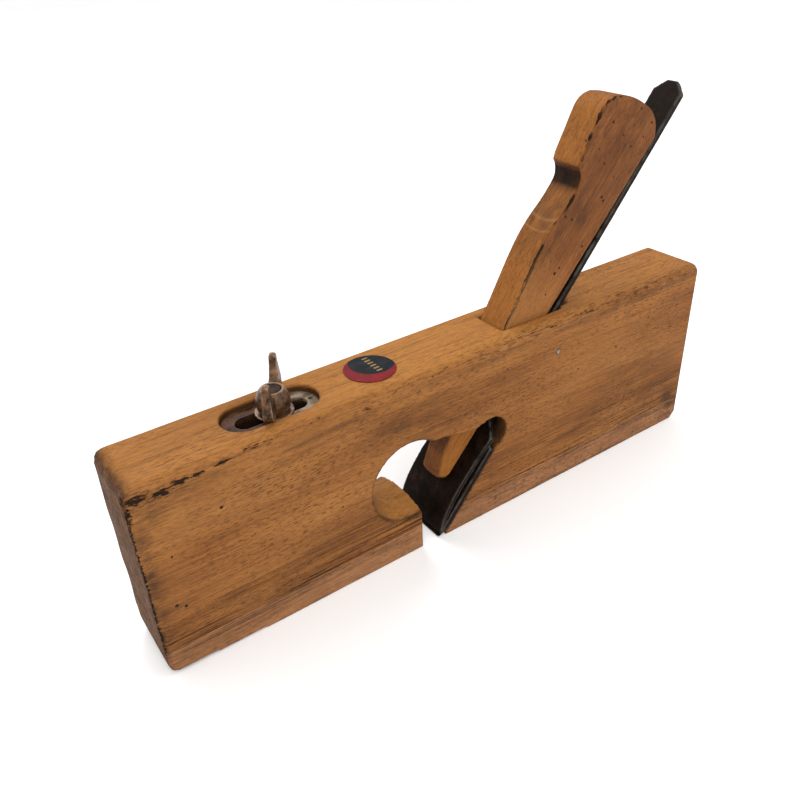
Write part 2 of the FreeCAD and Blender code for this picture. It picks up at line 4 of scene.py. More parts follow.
import bmesh
import bpy
import numpy as np
from mathutils import Matrix, Vector, noise
from mathutils.bvhtree import BVHTree


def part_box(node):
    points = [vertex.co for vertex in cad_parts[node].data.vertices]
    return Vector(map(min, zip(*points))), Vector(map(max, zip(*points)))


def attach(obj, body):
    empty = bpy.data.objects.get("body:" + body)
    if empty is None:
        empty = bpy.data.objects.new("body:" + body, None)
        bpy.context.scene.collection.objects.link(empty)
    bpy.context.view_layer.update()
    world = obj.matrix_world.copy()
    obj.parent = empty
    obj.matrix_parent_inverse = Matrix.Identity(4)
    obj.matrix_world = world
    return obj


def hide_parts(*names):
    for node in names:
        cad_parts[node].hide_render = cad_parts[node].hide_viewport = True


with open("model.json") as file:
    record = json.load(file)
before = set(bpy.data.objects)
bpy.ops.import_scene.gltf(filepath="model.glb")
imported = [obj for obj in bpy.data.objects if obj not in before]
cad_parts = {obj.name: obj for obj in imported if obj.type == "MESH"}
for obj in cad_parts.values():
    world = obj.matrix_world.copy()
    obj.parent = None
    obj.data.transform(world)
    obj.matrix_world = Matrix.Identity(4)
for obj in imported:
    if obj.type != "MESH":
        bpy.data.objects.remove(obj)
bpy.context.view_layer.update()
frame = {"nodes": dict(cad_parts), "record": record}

MM = 0.001
NODES = frame["nodes"]
JOINTS = {joint["name"]: joint for joint in frame["record"]["behaviour"]["joints"]}

STOCK_LOW, STOCK_HIGH = (Vector(corner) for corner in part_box("body_stock"))
LABEL_LOW, LABEL_HIGH = (Vector(corner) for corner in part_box("label_disc"))
PLATE_LOW, PLATE_HIGH = (Vector(corner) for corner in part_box("slot_plate"))
SOLE_JOINT = STOCK_LOW.z
TOE = STOCK_LOW.x
HEEL = STOCK_HIGH.x
BED_UP = Vector(JOINTS["wedge_draw"]["axis"]).normalized()
BED_OFF = Vector((-BED_UP.z, 0.0, BED_UP.x))
BED_ANGLE = math.atan2(BED_UP.z, BED_UP.x)

# in millimetres, in the CAD frame
BED_FOOT_X = -12.4
THROAT_X = -28.4
THROAT_Z = 36.7
RECESS_X = -74.0
RECESS_REACH = 25.0
SIDE_Y = 14.6

CAMERA_AT = Vector((-0.16761, -0.22036, 0.23277))
CAMERA_RIGHT = Vector((0.81924, -0.57195, -0.04141))
CAMERA_UP = Vector((0.33628, 0.42067, 0.84259))
CAMERA_LENS = 35.97


# ---------------------------------------------------------------- shaders
class Shader:
    """A material and short ways to build its node tree.  Texture places are in millimetres."""

    def __init__(self, name):
        self.mat = bpy.data.materials.new(name)
        self.mat.use_nodes = True
        self.nodes = self.mat.node_tree.nodes
        self.links = self.mat.node_tree.links
        self.surface = self.nodes["Principled BSDF"]
        self.place = self.node("ShaderNodeTexCoord").outputs["Object"]

    def node(self, kind, inputs=None, **settings):
        made = self.nodes.new(kind)
        for key, value in settings.items():
            setattr(made, key, value)
        for key, value in (inputs or {}).items():
            self.feed(made.inputs[key], value)
        return made

    def feed(self, socket, value):
        if isinstance(value, bpy.types.NodeSocket):
            self.links.new(value, socket)
        else:
            socket.default_value = value

    def grid(self, per_mm, turn=0.0, start=(0, 0, 0)):
        """Object place, turned about Y by -turn and stretched to per_mm cells per millimetre."""
        turned = self.place
        if turn:
            turned = self.node("ShaderNodeMapping",
                               {"Vector": turned, "Rotation": (0, turn, 0)}).outputs["Vector"]
        scale = [1000.0 * value for value in per_mm]
        return self.node("ShaderNodeMapping", {"Vector": turned, "Scale": scale,
                                               "Location": start}).outputs["Vector"]

    def noise(self, per_mm, turn=0.0, detail=2.0, rough=0.5, bend=0.0, start=(0, 0, 0)):
        return self.node("ShaderNodeTexNoise",
                         {"Vector": self.grid(per_mm, turn, start), "Scale": 1.0, "Detail": detail,
                          "Roughness": rough, "Distortion": bend}).outputs["Fac"]

    def part(self, value, low, high, start=0.0, end=1.0):
        """Value's place between low and high, as start to end and no further."""
        return self.node("ShaderNodeMapRange",
                         {"Value": value, "From Min": low, "From Max": high,
                          "To Min": start, "To Max": end}, clamp=True).outputs["Result"]

    def maths(self, what, a, b=0.0):
        return self.node("ShaderNodeMath", {0: a, 1: b}, operation=what).outputs[0]

    def both(self, *values):
        total = values[0]
        for value in values[1:]:
            total = self.maths("MULTIPLY", total, value)
        return total

    def ramp(self, value, stops):
        made = self.node("ShaderNodeValToRGB", {"Fac": value})
        points = made.color_ramp.elements
        while len(points) < len(stops):
            points.new(0.5)
        for point, (place, colour) in zip(points, stops):
            point.position = place
            point.color = (*colour, 1.0)
        return made.outputs["Color"]

    def blend(self, share, below, above, how="MIX"):
        made = self.node("ShaderNodeMix", data_type="RGBA", blend_type=how, clamp_factor=True)
        self.feed(made.inputs[0], share)
        for socket, colour in ((made.inputs[6], below), (made.inputs[7], above)):
            self.feed(socket, colour if isinstance(colour, bpy.types.NodeSocket) else (*colour, 1.0))
        return made.outputs[2]

    def vertex(self, name):
        return self.node("ShaderNodeAttribute", attribute_name=name).outputs["Fac"]

    def axis(self, name):
        split = self.node("ShaderNodeSeparateXYZ", {"Vector": self.grid((1e-3,) * 3)})
        return split.outputs[name]

    def finish(self, colour, roughness, height=None, depth=0.1, metallic=0.0, shine=0.25):
        self.feed(self.surface.inputs["Base Color"], colour)
        self.feed(self.surface.inputs["Roughness"], roughness)
        self.surface.inputs["Metallic"].default_value = metallic
        self.surface.inputs["Specular IOR Level"].default_value = shine
        if height is not None:
            bump = self.node("ShaderNodeBump", {"Height": height, "Strength": 1.0, "Distance": depth * MM})
            self.links.new(bump.outputs["Normal"], self.surface.inputs["Normal"])
        return self.mat


# dark brown for dirt, also used for painted shade
DIRT_AND_SHADE = (0.048, 0.024, 0.013)
BLACK = (0.010, 0.006, 0.004)
CRUMBLED = (0.34, 0.175, 0.070)
END_DARK = (0.022, 0.009, 0.004)
END_LIGHT = (0.175, 0.068, 0.019)


def beech_grain(wood, turn, tones, pale_and_lit_tone, fleck, fleck_share):
    """Broad tone, fibres and short dark ray flecks: the colour, the rays and the fibres."""
    tone = wood.noise((0.010, 0.035, 0.045), turn, detail=3, rough=0.55)
    colour = wood.ramp(tone, [(0.34, tones[0]), (0.50, tones[1]), (0.66, tones[2])])
    # lighter tone: paler sole-strip sides, and painted light on the stock's top, the lower throat flare and
    # the wedge's front and near faces
    raised = wood.vertex("raised")
    colour = wood.blend(wood.part(raised, 0.0, 1.0, 0.0, 0.9), colour, pale_and_lit_tone)
    fibre = wood.noise((0.035, 0.75, 0.95), turn, detail=4, rough=0.65, bend=0.2)
    colour = wood.blend(wood.part(fibre, 0.50, 0.72, 0.0, 0.50), colour, fleck)
    colour = wood.blend(wood.part(fibre, 0.46, 0.30, 0.0, 0.45), colour, pale_and_lit_tone)
    rays = wood.noise((0.36, 2.4, 2.4), turn, detail=2.0, rough=0.55)
    patch = wood.part(wood.noise((0.02, 0.06, 0.06), turn, detail=2), 0.36, 0.60, 0.35, 1.0)
    ray_share = wood.both(wood.part(rays, 0.545, 0.60), patch, wood.part(raised, 0.0, 1.0, 1.0, 0.55))
    return wood.blend(wood.maths("MULTIPLY", ray_share, fleck_share), colour, fleck), rays, fibre


def beech_wear(wood, turn, colour, dirt_and_shade_edge):
    """End grain, grime and painted shade, battered arrises, chips and scratches: the colour and the arrises'
    relief.
    """
    pores = wood.noise((0.5, 0.5, 0.5), detail=5, rough=0.7)
    end_tone = wood.ramp(pores, [(0.40, END_DARK), (0.60, END_LIGHT)])
    colour = wood.blend(wood.part(wood.vertex("end"), 0.2, 0.8, 0.0, 0.9), colour, end_tone)
    # the grime layer holds dirt and also painted shade: inside the throat, on the wedge's tip and at its
    # notch
    dirt_and_shade = wood.both(wood.vertex("grime"), wood.part(dirt_and_shade_edge, 0.35, 0.60, 0.15, 1.0))
    colour = wood.blend(wood.part(dirt_and_shade, 0.0, 1.0, 0.0, 0.9), colour, DIRT_AND_SHADE)
    crumbs = wood.noise((0.22, 0.9, 0.9), turn, detail=5, rough=0.7)
    battered = wood.vertex("battered")
    colour = wood.blend(wood.both(battered, wood.part(crumbs, 0.53, 0.66)), colour, DIRT_AND_SHADE)
    colour = wood.blend(wood.both(battered, wood.part(crumbs, 0.45, 0.32, 0.0, 0.9)), colour, CRUMBLED)
    ragged = wood.maths("MULTIPLY", wood.maths("SUBTRACT", crumbs, 0.5), 2.6)
    chip = wood.part(wood.maths("ADD", wood.vertex("chip"), ragged), 0.50, 0.66)
    colour = wood.blend(wood.maths("MULTIPLY", chip, 0.95), colour, BLACK)
    colour = wood.blend(wood.maths("MULTIPLY", wood.vertex("scratch"), 0.7), colour, CRUMBLED)
    return colour, wood.both(battered, wood.part(crumbs, 0.3, 0.7, 2.5, 0.0))


def beech_splits(wood):
    """Where the wood has split along the grain: thin broken lines and softer smears."""
    line = wood.noise((0.008, 0.75, 1.45), detail=3, rough=0.55, bend=0.1)
    off_line = wood.maths("ABSOLUTE", wood.maths("SUBTRACT", line, 0.5))
    near_line = wood.part(off_line, 0.012, 0.040, 1.0, 0.0)
    gaps = wood.part(wood.noise((0.035, 0.25, 0.25), detail=3), 0.40, 0.52)
    smear = wood.noise((0.028, 0.42, 0.55), detail=5, rough=0.7, start=(3, 8, 2))
    smear = wood.part(smear, 0.575, 0.65, 0.0, 0.45)
    return wood.both(wood.maths("MAXIMUM", wood.both(near_line, gaps), smear), wood.vertex("split"))


def beech(name, turn, tones, pale_and_lit_tone, fleck, fleck_share, splits=0.0):
    """Old beech: grain, wear and, where splits is above nought, dark splits of that strength."""
    wood = Shader(name)
    colour, rays, fibre = beech_grain(wood, turn, tones, pale_and_lit_tone, fleck, fleck_share)
    dirt_and_shade_edge = wood.noise((0.10, 0.25, 0.25), turn, detail=5, rough=0.7)
    colour, arris_relief = beech_wear(wood, turn, colour, dirt_and_shade_edge)
    ray_relief = wood.part(rays, 0.5, 0.7, 0.0, -0.8)
    height = wood.maths("ADD", ray_relief, wood.part(fibre, 0.3, 0.7, 0.35, -0.35))
    height = wood.maths("ADD", height, arris_relief)
    if splits:
        split = beech_splits(wood)
        colour = wood.blend(wood.part(split, 0.0, 1.0, 0.0, splits), colour, BLACK)
        height = wood.maths("SUBTRACT", height, wood.maths("MULTIPLY", split, 2.0))
    shade = wood.both(wood.vertex("shade"), wood.part(dirt_and_shade_edge, 0.3, 0.6, 0.88, 1.0))
    colour = wood.blend(shade, colour, BLACK)
    gloss = wood.part(wood.noise((0.05, 0.12, 0.12), turn, detail=3), 0.3, 0.7, 0.55, 0.72)
    return wood.finish(colour, gloss, height, depth=0.14, shine=0.06)


def patina(name, dark, mid, rust, bright, rough=(0.45, 0.65), metallic=0.1, edge_share=0.4, shine=0.05):
    """Old iron: mottled dark skin, rust patches, and arrises lightened both for wear and as painted
    highlights.
    """
    iron = Shader(name)
    mottle = iron.noise((0.22, 0.22, 0.22), detail=6, rough=0.7)
    colour = iron.ramp(mottle, [(0.38, dark), (0.64, mid)])
    bloom = iron.part(iron.noise((0.16, 0.16, 0.16), detail=5, rough=0.75, start=(9, 2, 4)),
                      0.55, 0.65)
    colour = iron.blend(iron.maths("MULTIPLY", bloom, 0.8), colour, rust)
    edge_breakup = iron.noise((0.25, 0.25, 0.25), detail=4)
    # the arrises are lightened towards the bright colour: partly wear, partly painted highlight
    worn_and_highlit = iron.both(iron.part(iron.vertex("edge"), 0.25, 0.9), iron.part(edge_breakup, 0.30, 0.65))
    colour = iron.blend(iron.maths("MULTIPLY", worn_and_highlit, edge_share), colour, bright)
    gloss = iron.part(mottle, 0.3, 0.7, rough[0], rough[1])
    pits = iron.noise((0.9, 0.9, 0.9), detail=4, rough=0.65)
    return iron.finish(colour, gloss, pits, depth=0.10, metallic=metallic, shine=shine)


def plate_steel():
    """Wear plate: dull pale steel towards the heel, brown rust towards the toe."""
    steel = Shader("worn_plate")
    along = steel.part(steel.axis("X"), PLATE_LOW.x, PLATE_HIGH.x)
    cloud = steel.noise((0.25, 0.25, 0.25), detail=4, rough=0.6)
    rusty = steel.part(steel.maths("ADD", along, steel.part(cloud, 0, 1, -0.3, 0.3)), 0.46, 0.74, 1.0, 0.0)
    pale = steel.ramp(cloud, [(0.38, (0.085, 0.055, 0.036)), (0.58, (0.27, 0.21, 0.145))])
    brown = steel.ramp(cloud, [(0.38, (0.026, 0.012, 0.007)), (0.65, (0.120, 0.056, 0.032))])
    colour = steel.blend(rusty, pale, brown)
    colour = steel.blend(steel.part(steel.vertex("edge"), 0.3, 0.8, 0, 0.5), colour, (0.16, 0.11, 0.08))
    gloss = steel.part(cloud, 0.3, 0.7, 0.45, 0.65)
    return steel.finish(colour, gloss, cloud, depth=0.08, metallic=0.15, shine=0.08)


def label_foil():
    """Glossy round label: a dark field with a crimson segment and plain gold bars."""
    foil = Shader("label_foil")
    centre = (LABEL_LOW + LABEL_HIGH) / 2.0
    radius = (LABEL_HIGH.x - LABEL_LOW.x) / 2.0
    x = foil.maths("SUBTRACT", foil.axis("X"), centre.x)
    y = foil.maths("SUBTRACT", foil.axis("Y"), centre.y)

    def away(from_x, from_y):
        dx = foil.maths("SUBTRACT", x, from_x)
        dy = foil.maths("SUBTRACT", y, from_y)
        return foil.maths("SQRT", foil.maths("ADD", foil.both(dx, dx), foil.both(dy, dy)))

    field = foil.part(away(0.30 * radius, 0.36 * radius), 0.88 * radius, 0.91 * radius)
    wear = foil.noise((0.35, 0.35, 0.35), detail=4, rough=0.7)
    red = foil.ramp(wear, [(0.35, (0.10, 0.004, 0.007)), (0.7, (0.21, 0.011, 0.015))])
    colour = foil.blend(field, (0.005, 0.006, 0.009), red)
    step = foil.maths("FRACT", foil.maths("MULTIPLY", y, 1.0 / (0.21 * radius)))
    bars = foil.both(foil.part(step, 0.30, 0.36), foil.part(step, 0.72, 0.78, 1.0, 0.0),
                     foil.part(foil.maths("ABSOLUTE", foil.maths("SUBTRACT", x, 0.23 * radius)),
                               0.11 * radius, 0.125 * radius, 1.0, 0.0),
                     foil.part(foil.maths("ABSOLUTE", foil.maths("SUBTRACT", y, 0.16 * radius)),
                               0.60 * radius, 0.62 * radius, 1.0, 0.0))
    colour = foil.blend(foil.both(bars, foil.part(wear, 0.3, 0.5, 0.5, 1.0)), colour, (0.24, 0.165, 0.055))
    scratch = foil.part(foil.noise((0.1, 1.6, 1.0), detail=2), 0.66, 0.72, 0.0, 0.35)
    colour = foil.blend(scratch, colour, (0.16, 0.11, 0.09))
    return foil.finish(colour, foil.part(wear, 0.3, 0.7, 0.40, 0.6), wear, depth=0.02, shine=0.06)


def pin_metal():
    """Bright pin driven into the side of the stock, dulled and scratched."""
    pin = Shader("pin_metal")
    cloud = pin.noise((0.9, 0.9, 0.9), detail=4)
    colour = pin.ramp(cloud, [(0.35, (0.09, 0.075, 0.06)), (0.65, (0.24, 0.22, 0.19))])
    return pin.finish(colour, 0.45, cloud, depth=0.05, metallic=0.3)


def brass_metal():
    brass = Shader("dull_brass")
    cloud = brass.noise((0.4, 0.4, 0.4), detail=3)
    colour = brass.ramp(cloud, [(0.3, (0.20, 0.13, 0.05)), (0.7, (0.42, 0.29, 0.11))])
    return brass.finish(colour, brass.part(cloud, 0.3, 0.7, 0.35, 0.55), cloud, depth=0.03, metallic=0.85)


def hole_dark():
    # near-black: the painted shade inside each worm hole
    hole = Shader("worm_hole")
    cloud = hole.noise((1.0, 1.0, 1.0), detail=2)
    colour = hole.ramp(cloud, [(0.3, (0.006, 0.003, 0.002)), (0.7, (0.030, 0.014, 0.008))])
    return hole.finish(colour, 0.9)


def floor_paper():
    paper = Shader("floor_paper")
    cloud = paper.noise((0.002, 0.002, 0.002), detail=2)
    colour = paper.ramp(cloud, [(0.3, (0.93, 0.93, 0.93)), (0.7, (0.95, 0.95, 0.95))])
    return paper.finish(colour, 0.8, shine=0.1)


# ---------------------------------------------------------------- meshes
def new_object(name, mesh):
    made = bpy.data.objects.new(name, mesh)
    bpy.context.scene.collection.objects.link(made)
    return made


def applied(piece):
    """The piece's mesh with its modifiers applied."""
    seen = piece.evaluated_get(bpy.context.evaluated_depsgraph_get())
    mesh = bpy.data.meshes.new_from_object(seen)
    piece.modifiers.clear()
    old = piece.data
    piece.data = mesh
    bpy.data.meshes.remove(old)


def closed_copy(node, name):
    """A welded copy of a CAD node's mesh."""
    piece = new_object(name, NODES[node].data.copy())
    piece.data.materials.clear()
    shape = bmesh.new()
    shape.from_mesh(piece.data)
    bmesh.ops.remove_doubles(shape, verts=shape.verts, dist=1e-6)
    shape.to_mesh(piece.data)
    shape.free()
    return piece


def vertex_array(mesh, source, size=3):
    values = np.empty(len(mesh.vertices) * size)
    getattr(mesh, source).foreach_get("vector" if source == "vertex_normals" else "co", values)
    return values.reshape(-1, size)


def neighbour_mean(mesh, values):
    """Mean of each vertex's neighbours."""
    ends = np.empty(len(mesh.edges) * 2, dtype=np.int64)
    mesh.edges.foreach_get("vertices", ends)
    a, b = ends[0::2], ends[1::2]
    total = np.zeros_like(values)
    np.add.at(total, a, values[b])
    np.add.at(total, b, values[a])
    count = np.bincount(ends, minlength=len(values)).astype(float)
    return total / np.maximum(count, 1.0).reshape((-1,) + (1,) * (values.ndim - 1))


def smoothed(mesh, rounds):
    places = vertex_array(mesh, "vertices")
    for _ in range(rounds):
        places += 0.5 * (neighbour_mean(mesh, places) - places)
    mesh.vertices.foreach_set("co", places.ravel())
    mesh.update()


def between(values, low, high):
    """0 below low, 1 above high, straight between them."""
    return np.clip((values - low) / (high - low), 0.0, 1.0)


def soften(mesh, centre, reach, rounds):
    """Rounds off the arris that runs across the piece near centre."""
    places = vertex_array(mesh, "vertices")
    away = np.hypot(places[:, 0] - centre.x, places[:, 2] - centre.z)
    share = between(away, reach, 0.5 * reach)[:, None]
    for _ in range(rounds):
        places += 0.5 * share * (neighbour_mean(mesh, places) - places)
    mesh.vertices.foreach_set("co", places.ravel())
    mesh.update()


def cloud_values(places, per_mm, seed):
    """Smooth noise from -1 to 1 at each place, at per_mm cells per millimetre along X, Y and Z."""
    scaled = places / MM * np.array(per_mm) + seed
    return np.array([noise.noise(Vector(point)) for point in scaled])


def paint(mesh, name, values):
    layer = mesh.attributes.new(name, "FLOAT", "POINT")
    layer.data.foreach_set("value", np.clip(values, 0.0, 1.0).astype(np.float32))


def paint_bends(mesh, voxel):
    """Marks the outer arrises in the layer edge."""
    places = vertex_array(mesh, "vertices")
    normals = vertex_array(mesh, "vertex_normals")
    bend = ((neighbour_mean(mesh, places) - places) * normals).sum(axis=1) / voxel
    for _ in range(4):
        bend = 0.5 * (bend + neighbour_mean(mesh, bend))
    paint(mesh, "edge", -bend * 11.0)


def lengthen_joint(mesh, side):
    """Carries the face at the sole joint on past it, so that it stays sharp when the rest is softened."""
    shape = bmesh.new()
    shape.from_mesh(mesh)
    faces = [face for face in shape.faces if abs(face.normal.z) > 0.99
             and abs(face.calc_center_median().z - SOLE_JOINT) < 0.2 * MM]
    grown = bmesh.ops.extrude_face_region(shape, geom=faces)["geom"]
    verts = [item for item in grown if isinstance(item, bmesh.types.BMVert)]
    bmesh.ops.translate(shape, verts=verts, vec=(0, 0, -side * 3 * MM))
    shape.to_mesh(mesh)
    shape.free()


def trim_joint(mesh, side):
    """Cuts a lengthened piece off flat at the sole joint: side is 1 for what lies above it."""
    shape = bmesh.new()
    shape.from_mesh(mesh)
    bmesh.ops.bisect_plane(shape, geom=[*shape.verts, *shape.edges, *shape.faces], dist=1e-7,
                           plane_co=(0, 0, SOLE_JOINT), plane_no=(0, 0, side), clear_inner=True)
    rim = [edge for edge in shape.edges if len(edge.link_faces) == 1]
    bmesh.ops.triangle_fill(shape, use_beauty=True, use_dissolve=False, edges=rim)
    for edge in rim:
        edge.smooth = False
    for face in shape.faces:
        face.smooth = any(abs(vert.co.z - SOLE_JOINT) > 1e-6 for vert in face.verts)
    bmesh.ops.recalc_face_normals(shape, faces=shape.faces)
    shape.to_mesh(mesh)
    shape.free()


def worn_copy(node, name, body, material, voxel, rounds=1, dents=0.0, dent_size=0.3, seed=0.0, joint=0):
    """A CAD node's shape with softened arrises and slightly uneven faces, in millimetres.

    joint is 1 for a piece that stands on the sole joint, -1 for one that hangs below it and 0 for any other:
    the first two are cut off flat there.
    """
    piece = closed_copy(node, name)
    if joint:
        lengthen_joint(piece.data, joint)
    remesh = piece.modifiers.new("remesh", "REMESH")
    remesh.mode = "VOXEL"
    remesh.voxel_size = voxel * MM
    remesh.use_smooth_shade = True
    applied(piece)
    mesh = piece.data
    smoothed(mesh, rounds)
    if joint:
        trim_joint(mesh, joint)
    paint_bends(mesh, voxel * MM)
    places = vertex_array(mesh, "vertices")
    normals = vertex_array(mesh, "vertex_normals")
    depth = cloud_values(places, (dent_size,) * 3, seed) * dents * MM
    mesh.vertices.foreach_set("co", (places + normals * depth[:, None]).ravel())
    mesh.materials.append(material)
    mesh.update()
    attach(piece, body)
    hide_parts(node)
    return piece


# ---------------------------------------------------------------- wood
def spots(across, up, marks):
    """Soft marks at (across, up, half length, half height, strength), in millimetres."""
    total = np.zeros(len(across))
    for x, z, long, high, strength in marks:
        away = ((across / MM - x) / long) ** 2 + ((up / MM - z) / high) ** 2
        total = np.maximum(total, strength * np.exp(-away))
    return total


def paint_wood(mesh, **layers):
    """Paints every layer the wood shaders read; those not given are left at nought."""
    count = len(mesh.vertices)
    for name in ("raised", "end", "grime", "battered", "chip", "scratch", "split", "shade"):
        paint(mesh, name, layers.get(name, 0.0) + np.zeros(count))


def sink(mesh, depth):
    """Pushes each vertex in by depth, in millimetres."""
    places = vertex_array(mesh, "vertices")
    normals = vertex_array(mesh, "vertex_normals")
    mesh.vertices.foreach_set("co", (places - normals * (depth * MM)[:, None]).ravel())
    mesh.update()


# marks on the stock: x, z, half length, half height and strength
STOCK_GRIME = [
    (-118, 76, 22, 3.0, 0.7), (-112, 66, 22, 9, 0.35), (-60, 75, 30, 2.5, 0.6),
    (0, 77, 45, 2.0, 0.5), (70, 78, 60, 1.6, 0.6),
    (-85, 68, 18, 7, 0.35), (-30, 66, 22, 9, 0.60), (30, 62, 22, 9, 0.25), (100, 45, 32, 18, 0.35),
    (-132.5, 50, 3.6, 30, 0.95), (-128, 72, 6, 6, 0.6), (128, 15, 8, 5, 0.95), (112, 24, 16, 7, 0.40),
    (-20, 58, 16, 3, 0.5), (60, 44, 16, 5, 0.30),
]
STOCK_CHIPS = [
    (-131.0, 78.6, 5.5, 2.6, 0.95), (-122.6, 77.6, 4.4, 2.2, 0.95), (-116.2, 79.0, 4.6, 1.7, 0.92),
    (-109.5, 79.4, 5.0, 0.9, 0.92), (-102.5, 79.8, 6.0, 0.8, 0.84), (-134, 74, 1.2, 6.0, 0.7),
    (-88, 81.2, 10.0, 0.7, 0.66), (-72, 81.6, 8.0, 0.7, 0.58),
    (-46, 78, 5, 1.3, 0.62), (-14, 80.5, 8.0, 1.0, 0.45), (-8, 57.5, 3.2, 1.2, 0.62),
    (30, 81.5, 5.0, 1.0, 0.62), (44, 81.0, 4.0, 1.0, 0.6),
    (62, 81.6, 6.0, 1.0, 0.5), (95, 81.6, 8.0, 0.8, 0.45),
]

TOE_CORNER_CRUMBS = (-133.6, 79.6, 2.6, 3.0, 0.95)
SOLE_GRIME = [(128, 7, 12, 7, 0.95), (-130, 5, 8, 5, 0.6), (100, 11, 20, 3, 0.6)]


def split_band(places):
    """Weathered splits: strong at the joint of the sole, thinner higher up."""
    z = places[:, 2] / MM
    x = places[:, 0] / MM
    front = between(x, 10.0, -30.0)
    centre = 13.0 + 1.5 * front
    low = np.exp(-(((z - centre) / (4.0 + 3.0 * front)) ** 2))
    return np.maximum(low, 0.5 * np.exp(-(((z - 24.0) / 5.0) ** 2)))


def shade_inside(places, normals):
    """How dark a cut surface of the stock is: deep in the slots, lighter in the flared throat."""
    x, y, z = (places / MM).T
    cut = between(np.abs(y), SIDE_Y, 14.0) * (np.abs(x) < 133) * (z < 82.0) * (z > 12.5)
    flare = between(np.hypot(x - THROAT_X, z - THROAT_Z), 19.5, 18.0) * (x < -10)
    by_recess = np.abs(x - RECESS_X) < RECESS_REACH
    stud_slot = 0.97 * by_recess * (np.abs(y) < 7.0) * (z < 79.5)
    recess = 0.62 * by_recess * (np.abs(y) < 8.8) * (z > 79.0) * (z < 82.3)
    upper = 0.03 + 0.62 * between(z, 25.0, 38.0)
    slot_end = (x > 5.0) & (z < 52.0)
    towards_side = 1.0 - 0.35 * between(np.abs(y), 7.0, 13.0)
    depth = np.where(flare > 0.5, upper, np.where(slot_end, towards_side, 1.0))
    shade = cut * depth * between(np.abs(normals[:, 1]), 0.98, 0.7)
    return np.where(recess > 0, recess, np.maximum(shade, stud_slot))


def stock_grime(places, side, toe_end, toe_arris):
    """Dirt on the stock: marked places, broad clouds, the toe, and the rims of throat and recess; on the cut
    surfaces inside the throat and slots the broad clouds are painted shade.
    """
    x, y, z = (places / MM).T
    broad = np.clip(cloud_values(places, (0.02, 0.04, 0.045), 31.0) * 1.6, 0, 1)
    from_throat = np.hypot(x - THROAT_X, z - THROAT_Z)
    near_rim = between(np.abs(from_throat - 18.3), 1.1, 0.3) * (x < -10)
    throat_rim = 0.85 * near_rim * between(np.abs(y), 13.5, 14.4)
    recess_rim = 0.45 * between(z, 83.0, 82.4) * between(z, 79.5, 81.0) * between(np.abs(y), 9.0, 8.3)
    toe_top = 0.65 * between(x, -129.5, -133.0) * (z > 78.0)
    # painted shade: broad dark clouds on the cut surfaces inside the stock, below the top
    inside = 0.55 * broad * (np.abs(y) < SIDE_Y) * (z < 60.0)
    marks = spots(places[:, 0], places[:, 2], STOCK_GRIME) * side
    return np.maximum.reduce([marks, 0.35 * broad * side, 0.4 * toe_end, toe_arris, toe_top, inside,
                              throat_rim, recess_rim])


def wooden_stock(material):
    stock = worn_copy("body_stock", "worn_stock", "stock", material, voxel=0.75, rounds=2,
                      dents=0.12, dent_size=0.035, seed=3.0, joint=1)
    mesh = stock.data
    places = vertex_array(mesh, "vertices")
    normals = vertex_array(mesh, "vertex_normals")
    x, y, z = (places / MM).T
    side = between(np.abs(normals[:, 1]), 0.1, 0.6)
    toe_end = between(-normals[:, 0], 0.3, 0.9) * (places[:, 0] < TOE + 6 * MM)
    heel_end = between(normals[:, 0], 0.3, 0.9) * (places[:, 0] > HEEL - 4 * MM)
    near_arris = between(y, -11.8, -13.2) * between(z, 78.5, 80.0)
    toe_arris = between(x, -132.8, -134.2) * between(y, -12.8, -14.2)
    arris_line = 0.72 * between(x, -133.6, -134.5) * between(y, -13.4, -14.3) * (z < 76.0)
    near_top = between(y, -10.5, -12.5)
    chips = spots(places[:, 0], places[:, 2], STOCK_CHIPS) * near_top
    crumbled = spots(places[:, 0], places[:, 2], [TOE_CORNER_CRUMBS]) * near_top
    battered = near_arris * (0.30 + 0.65 * between(x, -5.0, 25.0))
    flare = between(np.hypot(x - THROAT_X, z - THROAT_Z), 18.2, 17.4)
    flare = flare * (x < -20) * (z < 36.0) * (np.abs(y) < SIDE_Y)
    # painted light: the top face is painted lighter, most near the middle of its length, and so is the lower
    # part of the throat flare
    top = between(normals[:, 2], 0.35, 0.9) * (z > 80.0) * (0.55 + 0.45 * np.exp(-(((x + 8.0) / 60.0) ** 2)))
    paint_wood(mesh, raised=np.maximum(top, 0.85 * flare), end=np.maximum(toe_end, heel_end),
               grime=stock_grime(places, side, toe_end, toe_arris),
               battered=np.maximum.reduce([battered, crumbled, 0.8 * toe_arris]),
               chip=np.maximum(chips, arris_line), split=split_band(places) * side,
               shade=shade_inside(places, normals))
    ragged = cloud_values(places, (0.35, 0.8, 0.8), 17.0)
    chip_depth = np.clip(chips - 0.40 + 0.5 * ragged, 0, 1) * between(chips, 0.1, 0.3) * 1.8
    arris_depth = near_arris * np.clip(ragged, 0, 1) * 0.35 + toe_arris * np.clip(ragged + 0.3, 0, 1) * 0.5
    toe_depth = toe_end * cloud_values(places, (0.06, 0.06, 0.06), 41.0) * 0.5
    sink(mesh, chip_depth + arris_depth + toe_depth)
    return stock


